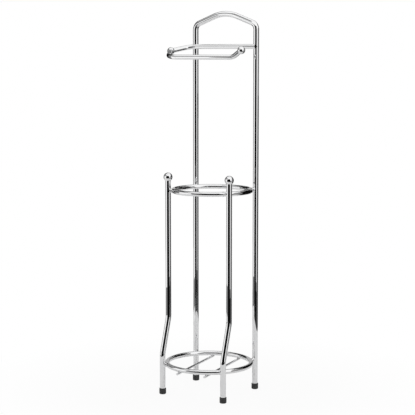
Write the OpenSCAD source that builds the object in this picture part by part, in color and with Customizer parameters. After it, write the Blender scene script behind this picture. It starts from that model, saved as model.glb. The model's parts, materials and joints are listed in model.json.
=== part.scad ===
/* [Tube, rod and wire] */
// Outer diameter of the tube of the hoop and the four legs
tube_d = 9.5; // [8:0.1:11]
// Wall of that tube
tube_wall = 0.9; // [0.7:0.1:1.2]
// Diameter of the solid rod of the rings and the roll arm
rod_d = 8; // [6:0.1:9]
// Diameter of the two wires under the base ring
wire_d = 4; // [3:0.1:5]

/* [Legs] */
// Distance between the centres of a left leg and a right leg
leg_span = 119; // [110:0.5:130]
// Distance from front leg centre to rear leg centre at the floor
leg_depth = 110.3; // [104:0.1:124]
// How far a front leg steps back above its bends
front_step = 19.4; // [12:0.1:24]
// Height of the corner of a front leg's lower bend
lower_bend_z = 69; // [66:0.5:80]
// Height of the corner of a front leg's upper bend
upper_bend_z = 129; // [120:0.5:150]
// Radius of a front leg's bends, on the tube's centre line
leg_bend_r = 30; // [20:1:40]
// Height of the open top of a front leg's tube
front_leg_top = 364.5; // [356:0.5:400]
// Height of the seam where the hoop plugs into the rear legs
hoop_seam_z = 359; // [356:0.5:380]

/* [Hoop] */
// Height of the whole stand
total_h = 649.5; // [630:0.5:720]
// Slope of the hoop's two shoulders, in degrees
shoulder_slope = 21; // [14:0.5:28]
// Radius of the hoop's rounded top, on the centre line
crown_r = 64; // [40:1:80]
// Radius of the hoop's two corners, on the centre line
corner_r = 12; // [10:0.5:16]
// Length of the reduced end that plugs into a rear leg
spigot_len = 25; // [15:1:40]

/* [Rings and wires] */
// Height of the base ring's centre line
base_ring_z = 50.4; // [44:0.1:56]
// Height of the upper ring's centre line
upper_ring_z = 347; // [300:0.5:349]
// Distance between the two wires
wire_spread = 50; // [40:1:60]
// Turn of the two wires away from straight front to back, in degrees
wire_turn = 6.4; // [0:0.1:8]
// How far a wire's ends pass the outside of the base ring
wire_overhang = 3; // [1:0.1:6]
// Diameter of the collar where a ring's ends are butt welded, over the rod's own
butt_swell = 0.5; // [0.2:0.1:1]
// Length of that collar along the ring
butt_len = 2; // [1:0.1:4]
// Bearing of the upper ring's butt weld, in degrees from straight left
butt_bearing = 137; // [46:1:137]

/* [Roll arm] */
// How far the arm's rear rod lies below the top of the hoop
arm_below_top = 60.1; // [52:0.1:90]
// Distance from the rear rod to the front bar, between centre lines
arm_gap = 82.9; // [76:0.1:92]
// Slope of the arm down to the front, in degrees
arm_slope = 12.3; // [0:0.1:20]
// How far the rear rod's right end passes the centre of the right rear post
rear_rod_over = 3.7; // [3.6:0.1:5]
// How far the corner ball's centre lies to the left of the left rear post's
corner_ball_out = 23.5; // [20:0.1:28]
// Angle of the rear rod's bend at the left, in degrees
rear_bend_angle = 62; // [58:1:70]
// Radius of the rear rod's bend, on the centre line
rear_bend_r = 20; // [14:0.5:22]
// Length of the rear rod from its bend to the corner ball's centre
rear_stub = 27.6; // [24:0.1:29]
// Angle of the front bar's bend at the left, in degrees
front_bend_angle = 64; // [58:1:75]
// Radius of the front bar's bend at the left, on the centre line
front_bend_r = 30; // [20:0.5:34]
// How far the tip ball's centre lies to the right of the right rear post's
tip_ball_out = 21.6; // [16:0.1:28]
// Rise of the tip ball over the front bar
tip_rise = 11.3; // [8:0.1:16]
// Angle of the upturned tip, in degrees
tip_angle = 35; // [25:1:50]
// Radius of the tip's bend, on the centre line
tip_bend_r = 15; // [12:0.5:18]

/* [Balls, feet and welds] */
// Diameter of the balls on the front legs
leg_ball_d = 15.2; // [13:0.1:20]
// Length of a leg ball's shank in the tube
shank_len = 12; // [8:1:20]
// Diameter of the two balls of the arm
arm_ball_d = 12.7; // [11:0.1:16]
// Steel left in an arm ball between a rod's end and the ball's centre
socket_web = 1.2; // [0.8:0.1:2]
// Diameter of a rubber foot
foot_d = 11.6; // [11.4:0.1:14]
// Height of a rubber foot
foot_h = 10; // [8:0.1:14]
// Rubber under the end of a leg
foot_sole = 2.5; // [1.8:0.1:4]
// Radius of the rounded edge under a foot
foot_edge_r = 1.6; // [0.8:0.1:2]
// Radius of the rounded rim at the top of a foot
foot_rim_r = 0.5; // [0.3:0.1:0.6]
// Radial gap of everything that is pushed into or over a tube or rod
push_gap = 0.1; // [0.05:0.05:0.2]
// Gap that a weld bridges between two curved surfaces
weld_gap = 0.3; // [0.2:0.05:0.5]
// Width of a weld, as a share of the rod or wire that it holds
weld_share = 0.9; // [0.6:0.05:0.95]
// How much a bend draws the section in, all round
bend_draw = 0.02; // [0.01:0.01:0.05]

/* [Hidden] */
$fn = 64;

chrome = "Silver";
rubber = "DimGray";
LEFT = -1;
RIGHT = 1;

// Sizes that follow from the tube, the rod and the wire
bore_d = tube_d - 2 * tube_wall;
welded_pitch = (tube_d + rod_d) / 2 + weld_gap;
foot_bore_d = tube_d + 2 * push_gap;
plug_d = bore_d - 2 * push_gap;

// How far a bend laps into the straight length at each end
bend_lap = 0.1;

// Leg centres, with the origin on the floor under the middle of the base ring
leg_x = leg_span / 2;
rear_y = leg_depth / 2;
front_low_y = -leg_depth / 2;
front_high_y = front_low_y + front_step;

// The slanting part of a front leg
slant_angle = atan(front_step / (upper_bend_z - lower_bend_z));
slant_bend_leg = leg_bend_r * tan(slant_angle / 2);
slant_len = norm([front_step, upper_bend_z - lower_bend_z]) - 2 * slant_bend_leg;

// The hoop's centre line
corner_angle = 90 - shoulder_slope;
shoulder_len = (leg_x - corner_r * (1 - cos(corner_angle)) - crown_r * sin(shoulder_slope))
    / cos(shoulder_slope);
crown_z = total_h - tube_d / 2;
post_top_z = crown_z - corner_r * sin(corner_angle) - shoulder_len * cos(corner_angle)
    - crown_r * (1 - cos(shoulder_slope));
post_len = post_top_z - hoop_seam_z;

// Each ring lies against the insides of the four legs
base_ring_r = norm([leg_x, rear_y]) - welded_pitch;
upper_ring_y = (rear_y + front_high_y) / 2;
upper_ring_r = norm([leg_x, rear_y - upper_ring_y]) - welded_pitch;

// The wires lie under the base ring
wire_pitch = (rod_d + wire_d) / 2 + weld_gap;
wire_z = base_ring_z - wire_pitch;
wire_len = 2 * sqrt(pow(base_ring_r + rod_d / 2 + wire_overhang, 2) - pow(wire_spread / 2, 2));

// The arm, in its own tilted plane with its origin on the rear rod
arm_z = total_h - arm_below_top;
rear_rod_y = rear_y - welded_pitch;
corner_x = leg_x + corner_ball_out;
corner_y = -rear_bend_r * (1 - cos(rear_bend_angle)) - rear_stub * sin(rear_bend_angle);
rear_bend_x = corner_x - rear_stub * cos(rear_bend_angle) - rear_bend_r * sin(rear_bend_angle);
rear_rod_len = rear_bend_x + leg_x + rear_rod_over;
front_stub = (arm_gap + corner_y - front_bend_r * (1 - cos(front_bend_angle))) / sin(front_bend_angle);
front_bend_x = corner_x - front_stub * cos(front_bend_angle) - front_bend_r * sin(front_bend_angle);
tip_straight = (tip_rise - tip_bend_r * (1 - cos(tip_angle))) / sin(tip_angle);
tip_reach = tip_bend_r * sin(tip_angle) + tip_straight * cos(tip_angle);
tip_x = leg_x + tip_ball_out;
front_bar_len = front_bend_x + tip_x - tip_reach;

// The corner ball's two sockets meet at an angle, so they stop further from its centre
corner_web = (rod_d / 2 + push_gap) / tan((rear_bend_angle + front_bend_angle) / 2) + socket_web / 2;

// How far the arm's welds reach past the rear rod's centre line, which bends away at the left post
arm_weld_sink = rod_d / 5;

// A leg ball is cut flat where it has the tube's diameter
leg_ball_seat = sqrt(pow(leg_ball_d / 2, 2) - pow(tube_d / 2, 2));

// Cross-section of a rod, or of a tube where a bore is given
module section(d, bore) {
    difference() {
        circle(d = d);
        if (bore > 0)
            circle(d = bore);
    }
}

// A straight length along +Z, with the children set on its far end
module run(length, d, bore = 0) {
    linear_extrude(length)
        section(d, bore);
    translate([0, 0, length])
        children();
}

// A part of a ring from the bearing 0 to the angle given, which laps a hair into what it meets
module bent_section(radius, angle, d, bore = 0) {
    lap = bend_lap / radius * 180 / PI;
    drawn_bore = bore > 0 ? bore + 2 * bend_draw : 0;
    rotate([0, 0, -lap])
        rotate_extrude(angle = angle + 2 * lap)
            translate([radius, 0])
                section(d - 2 * bend_draw, drawn_bore);
}

// A bend that leaves +Z towards the bearing given, with the children set on its far end
module bend(radius, angle, bearing, d, bore = 0) {
    rotate([0, 0, bearing]) {
        translate([radius, 0, 0])
            rotate([90, 0, 180])
                bent_section(radius, angle, d, bore);
        translate([radius * (1 - cos(angle)), 0, radius * sin(angle)])
            rotate([0, angle, 0])
                rotate([0, 0, -bearing])
                    children();
    }
}

// A hoop post from its seam up, with the reduced end below the seam that plugs into a rear leg
module plugged_post() {
    lead = tube_wall / 2;
    spigot_bore_r = plug_d / 2 - tube_wall;
    rotate_extrude()
        polygon([
            [spigot_bore_r, -spigot_len], [plug_d / 2 - lead, -spigot_len],
            [plug_d / 2, lead - spigot_len], [plug_d / 2, 0], [tube_d / 2, 0],
            [tube_d / 2, post_len], [bore_d / 2, post_len], [bore_d / 2, 2 * tube_wall],
            [spigot_bore_r, tube_wall]
        ]);
}

// The left half of the hoop without its crown
module hoop_side() {
    translate([-leg_x, rear_y, hoop_seam_z]) {
        plugged_post();
        translate([0, 0, post_len])
            bend(corner_r, corner_angle, 0, tube_d, bore_d)
            run(shoulder_len, tube_d, bore_d);
    }
}

module rear_hoop() {
    color(chrome) {
        hoop_side();
        mirror([1, 0, 0])
            hoop_side();
        translate([0, rear_y, crown_z - crown_r])
            rotate([90, 0, 0])
                rotate([0, 0, 90 - shoulder_slope])
                    bent_section(crown_r, 2 * shoulder_slope, tube_d, bore_d);
    }
}

module rear_leg(side) {
    color(chrome)
        translate([side * leg_x, rear_y, foot_sole])
            run(hoop_seam_z - foot_sole, tube_d, bore_d);
}

module front_leg(side) {
    color(chrome)
        translate([side * leg_x, front_low_y, foot_sole])
            run(lower_bend_z - slant_bend_leg - foot_sole, tube_d, bore_d)
            bend(leg_bend_r, slant_angle, 90, tube_d, bore_d)
            run(slant_len, tube_d, bore_d)
            bend(leg_bend_r, slant_angle, -90, tube_d, bore_d)
            run(front_leg_top - upper_bend_z - slant_bend_leg, tube_d, bore_d);
}

// A rod bent round and butt welded, with the weld's collar at the bearing given
module ring(radius, bearing) {
    collar_angle = butt_len / radius * 180 / PI;
    ring_rod(radius);
    rotate([0, 0, bearing - collar_angle / 2])
        rotate_extrude(angle = collar_angle)
            translate([radius, 0])
                circle(d = rod_d + butt_swell);
}

module upper_ring() {
    color(chrome)
        translate([0, upper_ring_y, upper_ring_z])
            ring(upper_ring_r, 180 + butt_bearing);
}

module base_ring() {
    color(chrome)
        translate([0, 0, base_ring_z])
            ring(base_ring_r, 90);
}

module base_wire(side) {
    color(chrome)
        rotate([0, 0, wire_turn])
            translate([side * wire_spread / 2, wire_len / 2, wire_z])
                rotate([90, 0, 0])
                    run(wire_len, wire_d);
}

// Puts the children in the arm's plane, with X to the right and -Y down the slope
module in_arm_plane() {
    translate([0, rear_rod_y, arm_z])
        rotate([arm_slope, 0, 0])
            children();
}

module arm_rear_rod() {
    color(chrome)
        in_arm_plane()
            translate([leg_x + rear_rod_over, 0, 0])
                rotate([0, -90, 0])
                    run(rear_rod_len, rod_d)
                    bend(rear_bend_r, rear_bend_angle, -90, rod_d)
                    run(rear_stub - corner_web, rod_d);
}

module arm_front_bar() {
    color(chrome)
        in_arm_plane()
            translate([-corner_x, corner_y, 0])
                rotate([90, 0, 90 - front_bend_angle])
                    translate([0, 0, corner_web])
                    run(front_stub - corner_web, rod_d)
                    bend(front_bend_r, front_bend_angle, 0, rod_d)
                    run(front_bar_len, rod_d)
                    bend(tip_bend_r, tip_angle, 90 - arm_slope, rod_d)
                    run(tip_straight - socket_web, rod_d);
}

// A blind socket for a rod, from the web at the ball's centre out through the ball
module rod_socket(web) {
    translate([0, 0, web])
        cylinder(d = rod_d + 2 * push_gap, h = arm_ball_d);
}

module arm_corner_ball() {
    color(chrome)
        in_arm_plane()
            translate([-corner_x, corner_y, 0])
                rotate([0, 90, rear_bend_angle])
                    difference() {
                        sphere(d = arm_ball_d);
                        rod_socket(corner_web);
                        rotate([rear_bend_angle + front_bend_angle, 0, 0])
                            rod_socket(corner_web);
                    }
}

module arm_tip_ball() {
    color(chrome)
        translate([
            tip_x,
            rear_rod_y - arm_gap * cos(arm_slope),
            arm_z - arm_gap * sin(arm_slope) + tip_rise
        ])
            rotate([0, -90 - tip_angle, 0])
                difference() {
                    sphere(d = arm_ball_d);
                    rod_socket(socket_web);
                }
}

module leg_ball(side) {
    lead = tube_wall / 2;
    color(chrome)
        translate([side * leg_x, front_high_y, front_leg_top]) {
            difference() {
                translate([0, 0, leg_ball_seat])
                    sphere(d = leg_ball_d);
                translate([0, 0, -leg_ball_d])
                    cylinder(d = 2 * leg_ball_d, h = leg_ball_d);
            }
            rotate_extrude()
                polygon([
                    [0, tube_wall], [plug_d / 2, tube_wall], [plug_d / 2, lead - shank_len],
                    [plug_d / 2 - lead, -shank_len], [0, -shank_len]
                ]);
        }
}

// A rubber cup with a rounded sole and rim, pushed over the end of a leg
module foot(side, y) {
    edge_x = foot_d / 2 - foot_edge_r;
    rim_x = foot_d / 2 - foot_rim_r;
    color(rubber)
        translate([side * leg_x, y, 0])
            difference() {
                rotate_extrude() {
                    square([edge_x, foot_edge_r]);
                    intersection() {
                        translate([edge_x, foot_edge_r])
                            circle(r = foot_edge_r);
                        translate([edge_x, 0])
                            square(foot_edge_r);
                    }
                    translate([0, foot_edge_r])
                        square([foot_d / 2, foot_h - foot_rim_r - foot_edge_r]);
                    translate([0, foot_h - foot_rim_r])
                        square([rim_x, foot_rim_r]);
                    intersection() {
                        translate([rim_x, foot_h - foot_rim_r])
                            circle(r = foot_rim_r);
                        translate([rim_x, foot_h - foot_rim_r])
                            square(foot_rim_r);
                    }
                }
                translate([0, 0, foot_sole])
                    cylinder(d = foot_bore_d, h = foot_h);
            }
}

// The torus of a ring, drawn finely because welds are cut to it
module ring_rod(radius) {
    rotate_extrude($fn = 240)
        translate([radius, 0])
            circle(d = rod_d);
}

// A round slug along +Z from the centre of a rod or wire to the centre of what it is welded to
module weld_slug(d, other_d) {
    cylinder(d = weld_share * d, h = (d + other_d) / 2 + weld_gap);
}

// The metal of a weld between a leg and a ring that lies against its inside
module ring_weld(leg_y, ring_y, ring_z, radius, side) {
    bearing = atan2(leg_y - ring_y, side * leg_x);
    difference() {
        translate([0, ring_y, ring_z])
            rotate([0, 0, bearing])
                translate([radius, 0, 0])
                    rotate([0, 90, 0])
                        weld_slug(rod_d, tube_d);
        translate([side * leg_x, leg_y, ring_z - rod_d])
            cylinder(d = tube_d, h = 2 * rod_d);
        translate([0, ring_y, ring_z])
            ring_rod(radius);
    }
}

module upper_ring_welds() {
    color(chrome)
        for (side = [LEFT, RIGHT])
            for (leg_y = [front_high_y, rear_y])
                ring_weld(leg_y, upper_ring_y, upper_ring_z, upper_ring_r, side);
}

module base_ring_welds() {
    color(chrome)
        for (side = [LEFT, RIGHT])
            for (leg_y = [front_low_y, rear_y])
                ring_weld(leg_y, 0, base_ring_z, base_ring_r, side);
}

// The welds where the two wires cross under the base ring, front and back
module base_wire_welds() {
    cross_y = sqrt(pow(base_ring_r, 2) - pow(wire_spread / 2, 2));
    color(chrome)
        rotate([0, 0, wire_turn])
            for (side = [LEFT, RIGHT])
                for (way = [-1, 1])
                    difference() {
                        translate([side * wire_spread / 2, way * cross_y, wire_z])
                            weld_slug(wire_d, rod_d);
                        translate([side * wire_spread / 2, way * cross_y + rod_d, wire_z])
                            rotate([90, 0, 0])
                                cylinder(d = wire_d, h = 2 * rod_d);
                        translate([0, 0, base_ring_z])
                            ring_rod(base_ring_r);
                    }
}

// The welds between the arm's rear rod and the two rear posts
module arm_welds() {
    color(chrome)
        for (side = [LEFT, RIGHT])
            translate([side * leg_x, rear_rod_y, arm_z])
                difference() {
                    rotate([-90, 0, 0])
                        translate([0, 0, -arm_weld_sink])
                            weld_slug(rod_d, tube_d);
                    translate([0, welded_pitch, -rod_d])
                        cylinder(d = tube_d, h = 2 * rod_d);
                    translate([-side * leg_x, -rear_rod_y, -arm_z])
                        arm_rear_rod();
                }
}

rear_hoop();
rear_leg(LEFT);  // rear_leg_left
rear_leg(RIGHT);  // rear_leg_right
front_leg(LEFT);  // front_leg_left
front_leg(RIGHT);  // front_leg_right
upper_ring();
base_ring();
base_wire(LEFT);  // base_wire_left
base_wire(RIGHT);  // base_wire_right
arm_rear_rod();
arm_front_bar();
arm_corner_ball();
arm_tip_ball();
leg_ball(LEFT);  // leg_ball_left
leg_ball(RIGHT);  // leg_ball_right
foot(LEFT, front_low_y);  // foot_front_left
foot(RIGHT, front_low_y);  // foot_front_right
foot(LEFT, rear_y);  // foot_rear_left
foot(RIGHT, rear_y);  // foot_rear_right
upper_ring_welds();
base_ring_welds();
base_wire_welds();
arm_welds();
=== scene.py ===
import json
import math

import bpy
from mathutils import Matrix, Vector

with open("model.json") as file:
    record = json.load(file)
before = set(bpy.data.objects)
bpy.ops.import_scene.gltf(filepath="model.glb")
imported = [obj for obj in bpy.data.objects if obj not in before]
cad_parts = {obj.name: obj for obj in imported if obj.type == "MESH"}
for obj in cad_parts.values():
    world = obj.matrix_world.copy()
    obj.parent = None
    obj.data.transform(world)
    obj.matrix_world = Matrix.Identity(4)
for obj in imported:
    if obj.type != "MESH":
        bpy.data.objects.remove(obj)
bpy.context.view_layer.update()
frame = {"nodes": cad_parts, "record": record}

# The photograph's camera, in degrees, metres and pixels of a square frame
PHOTO_SIDE_PX = 415
FOCAL_PX = 1316.1
CAMERA_AT = Vector((1.1267, -1.9074, 0.5783))
CAMERA_AZIMUTH = 30.642
CAMERA_DOWN = 6.689
SENSOR_MM = 36.0


def add_camera():
    data = bpy.data.cameras.new("camera")
    data.sensor_width = SENSOR_MM
    data.lens = SENSOR_MM * FOCAL_PX / PHOTO_SIDE_PX
    camera = bpy.data.objects.new("camera", data)
    camera.location = CAMERA_AT
    camera.rotation_euler = (math.radians(90 - CAMERA_DOWN), 0, math.radians(CAMERA_AZIMUTH))
    bpy.context.scene.collection.objects.link(camera)
    bpy.context.scene.camera = camera


# Materials: how fine their grain is, in cells a metre, and how far it stands out, in metres

HAZE_SCALE = 55.0
RIPPLE_SCALE = 420.0
DUST_SCALE = 260.0
GRAIN_SCALE = 2500.0
GRAIN_HEIGHT = 0.00008


def new_material(name):
    """A material, its shader, its nodes and its links."""
    material = bpy.data.materials.new(name)
    material.use_nodes = True
    nodes = material.node_tree.nodes
    return material, nodes["Principled BSDF"], nodes, material.node_tree.links


def noise(nodes, links, scale, detail):
    """Noise over the object's own coordinates, which are metres."""
    coords = nodes.new("ShaderNodeTexCoord")
    texture = nodes.new("ShaderNodeTexNoise")
    texture.inputs["Scale"].default_value = scale
    texture.inputs["Detail"].default_value = detail
    links.new(coords.outputs["Object"], texture.inputs["Vector"])
    return texture.outputs["Fac"]


def remap(nodes, links, value, low, high, start=0.3, stop=0.7):
    """The value mapped from start..stop to low..high, clamped."""
    node = nodes.new("ShaderNodeMapRange")
    node.inputs["From Min"].default_value = start
    node.inputs["From Max"].default_value = stop
    node.inputs["To Min"].default_value = low
    node.inputs["To Max"].default_value = high
    links.new(value, node.inputs["Value"])
    return node.outputs["Result"]


def bump(nodes, links, height, distance, shader):
    """Waves in the shader's normal, as high as the distance."""
    node = nodes.new("ShaderNodeBump")
    node.inputs["Distance"].default_value = distance
    node.inputs["Strength"].default_value = 1.0
    links.new(height, node.inputs["Height"])
    links.new(node.outputs["Normal"], shader.inputs["Normal"])


def chrome(name, tone, rough_low, rough_high, ripple):
    """Bright plate over polished steel, with a faint haze that comes and goes.

    tone is its colour, rough_low and rough_high are its roughness in and out of the haze, and
    ripple is the height of the plate's waves in metres."""
    material, shader, nodes, links = new_material(name)
    shader.inputs["Metallic"].default_value = 1.0
    haze = noise(nodes, links, HAZE_SCALE, 4.0)
    mix = nodes.new("ShaderNodeMix")
    mix.data_type = "RGBA"
    mix.inputs["A"].default_value = (tone * 0.97, tone * 0.975, tone * 0.985, 1)
    mix.inputs["B"].default_value = (tone, tone, tone, 1)
    links.new(remap(nodes, links, haze, 0.0, 1.0), mix.inputs["Factor"])
    links.new(mix.outputs["Result"], shader.inputs["Base Color"])
    links.new(remap(nodes, links, haze, rough_low, rough_high), shader.inputs["Roughness"])
    bump(nodes, links, noise(nodes, links, RIPPLE_SCALE, 3.0), ripple, shader)
    return material


def rubber(name):
    """Soft black rubber with a fine moulded grain and a little dust."""
    material, shader, nodes, links = new_material(name)
    dust = noise(nodes, links, DUST_SCALE, 6.0)
    mix = nodes.new("ShaderNodeMix")
    mix.data_type = "RGBA"
    mix.inputs["A"].default_value = (0.024, 0.024, 0.025, 1)
    mix.inputs["B"].default_value = (0.05, 0.05, 0.05, 1)
    links.new(remap(nodes, links, dust, 0.0, 1.0), mix.inputs["Factor"])
    links.new(mix.outputs["Result"], shader.inputs["Base Color"])
    links.new(remap(nodes, links, dust, 0.55, 0.75), shader.inputs["Roughness"])
    bump(nodes, links, noise(nodes, links, GRAIN_SCALE, 3.0), GRAIN_HEIGHT, shader)
    return material


def set_material(node, material):
    for slot in frame["nodes"][node].material_slots:
        slot.material = material


# The studio: a white floor, a white surround and the dark openings that the chrome shows

def stage_mesh(name, verts, faces, material):
    mesh = bpy.data.meshes.new(name)
    mesh.from_pydata(verts, [], faces)
    mesh.materials.append(material)
    obj = bpy.data.objects.new(name, mesh)
    bpy.context.scene.collection.objects.link(obj)
    return obj


def flat_emission(name, level):
    material = bpy.data.materials.new(name)
    material.use_nodes = True
    nodes, links = material.node_tree.nodes, material.node_tree.links
    nodes.clear()
    out = nodes.new("ShaderNodeOutputMaterial")
    light = nodes.new("ShaderNodeEmission")
    light.inputs["Color"].default_value = (level, level, level, 1)
    links.new(light.outputs["Emission"], out.inputs["Surface"])
    return material


def curved_card(name, radius, low, high, at_low, at_high, level):
    """An upright strip on a circle round the object, which only reflections see.

    at_low and at_high are its two edges at its foot and its top, in degrees from the
    camera's bearing, positive to the camera's right."""
    steps = max(2, int((at_low[1] - at_low[0]) / CARD_STEP))
    verts, faces = [], []
    for i in range(steps + 1):
        share = i / steps
        for z, (start, stop) in ((low, at_low), (high, at_high)):
            bearing = math.radians(CAMERA_AZIMUTH + start + (stop - start) * share)
            verts.append((radius * math.sin(bearing), -radius * math.cos(bearing), z))
    for i in range(steps):
        a = 2 * i
        faces.append((a, a + 2, a + 3, a + 1))
    card = stage_mesh(name, verts, faces, flat_emission(name, level))
    card.visible_camera = False
    card.visible_diffuse = False
    card.visible_shadow = False
    card.visible_transmission = False


# Degrees between the uprights of a card
CARD_STEP = 3

# name, radius, foot, top, edges at the foot, edges at the top, brightness; in metres and degrees
CARDS = (
    ("wall", 1.30, -0.40, 1.65, (-180, 180), (-180, 180), 0.22),
    ("front_upper", 1.29, 0.90, 2.30, (-61, 92), (-15, 72), 1.0),
    ("left_high", 1.28, 1.42, 3.20, (-62, -48), (-62, -44), 0.22),
    ("left_sweep", 1.25, -1.20, -0.11, (-140, -59), (-140, -59), 0.80),
    ("front_low", 1.16, -1.20, -0.03, (-29, 67), (-29, 67), 0.02),
    ("right_low", 1.15, -1.20, -0.02, (73, 120), (73, 120), 0.10),
    ("left_light", 1.14, -0.01, 0.79, (-105, -60), (-101, -59), 1.0),
    ("opening", 1.10, -0.09, 1.10, (-51, 39), (-34, 22), 0.004),
    ("right_light", 0.95, 0.03, 0.87, (40, 54), (19, 65), 1.0),
    ("back_wall", 0.94, 0.00, 0.57, (-203, -130), (-187, -147), 0.45),
    ("back_high", 0.93, 0.53, 0.76, (118, 232), (115, 244), 0.01),
    ("back_left_dark", 0.60, 0.16, 1.23, (-152, -124), (-171, -126), 0.01),
    ("back_right_dark", 0.59, 0.44, 0.76, (128, 173), (108, 172), 0.005),
    ("right_strip", 0.30, 0.06, 0.50, (89, 143), (84, 138), 0.004),
)

FLOOR_RADIUS = 0.56
FLOOR_SIDES = 96
FLOOR_TONE = 0.84
# How much of the floor's look to the camera is plain white, near the object and at its edge
WHITE_NEAR = 0.92
FADE_FROM = 0.16
FADE_TO = 0.46


def add_floor():
    """A pale round floor that takes the shadow and turns to the surround's white at its edge."""
    material = bpy.data.materials.new("floor")
    material.use_nodes = True
    nodes, links = material.node_tree.nodes, material.node_tree.links
    shader = nodes["Principled BSDF"]
    shader.inputs["Base Color"].default_value = (FLOOR_TONE, FLOOR_TONE, FLOOR_TONE, 1)
    shader.inputs["Roughness"].default_value = 0.7
    shader.inputs["Specular IOR Level"].default_value = 0.2
    coords = nodes.new("ShaderNodeTexCoord")
    length = nodes.new("ShaderNodeVectorMath")
    length.operation = "LENGTH"
    links.new(coords.outputs["Object"], length.inputs[0])
    white = remap(nodes, links, length.outputs["Value"], WHITE_NEAR, 1.0, FADE_FROM, FADE_TO)
    path = nodes.new("ShaderNodeLightPath")
    share = nodes.new("ShaderNodeMath")
    share.operation = "MULTIPLY"
    links.new(path.outputs["Is Camera Ray"], share.inputs[0])
    links.new(white, share.inputs[1])
    glow = nodes.new("ShaderNodeEmission")
    glow.inputs["Color"].default_value = (1, 1, 1, 1)
    mix = nodes.new("ShaderNodeMixShader")
    links.new(share.outputs[0], mix.inputs["Fac"])
    links.new(shader.outputs[0], mix.inputs[1])
    links.new(glow.outputs[0], mix.inputs[2])
    links.new(mix.outputs[0], nodes["Material Output"].inputs["Surface"])
    verts = []
    for i in range(FLOOR_SIDES):
        angle = 2 * math.pi * i / FLOOR_SIDES
        verts.append((FLOOR_RADIUS * math.cos(angle), FLOOR_RADIUS * math.sin(angle), 0))
    stage_mesh("floor", verts, [tuple(range(FLOOR_SIDES))], material)


# Brightness of the surround to the camera, as a light, and in reflections beyond the cards
WORLD_SEEN = 1.0
WORLD_LIGHT = 0.79
WORLD_MIRRORED = 0.92


def add_world():
    """White to the camera, nearly white in reflections, and an even light on the rest."""
    world = bpy.data.worlds.new("surround")
    bpy.context.scene.world = world
    world.use_nodes = True
    nodes, links = world.node_tree.nodes, world.node_tree.links
    path = nodes.new("ShaderNodeLightPath")
    is_mirrored = path.outputs["Is Glossy Ray"]
    mirrored = remap(nodes, links, is_mirrored, WORLD_LIGHT, WORLD_MIRRORED, 0.0, 1.0)
    level = nodes.new("ShaderNodeMix")
    level.data_type = "FLOAT"
    level.inputs["B"].default_value = WORLD_SEEN
    links.new(path.outputs["Is Camera Ray"], level.inputs["Factor"])
    links.new(mirrored, level.inputs["A"])
    back = nodes["Background"]
    back.inputs["Color"].default_value = (1, 1, 1, 1)
    links.new(level.outputs["Result"], back.inputs["Strength"])


add_camera()
add_floor()
add_world()
for card in CARDS:
    curved_card(*card)

# name, tone, roughness low and high, ripple
tube_chrome = chrome("tube chrome", 0.96, 0.005, 0.015, 0.000001)
rod_chrome = chrome("rod chrome", 0.96, 0.005, 0.015, 0.000001)
ball_chrome = chrome("ball chrome", 0.96, 0.005, 0.01, 0.000001)
weld_chrome = chrome("weld chrome", 0.82, 0.08, 0.2, 0.00003)
foot_rubber = rubber("foot rubber")

BY_SLOT = {
    "chrome_tube": tube_chrome,
    "chrome_rod": rod_chrome,
    "chrome_balls": ball_chrome,
    "weld_metal": weld_chrome,
    "rubber_feet": foot_rubber,
}
for subpart in frame["record"]["subparts"]:
    set_material(subpart["node"], BY_SLOT[subpart["material_slot"]])

bpy.context.scene.view_settings.view_transform = "Standard"
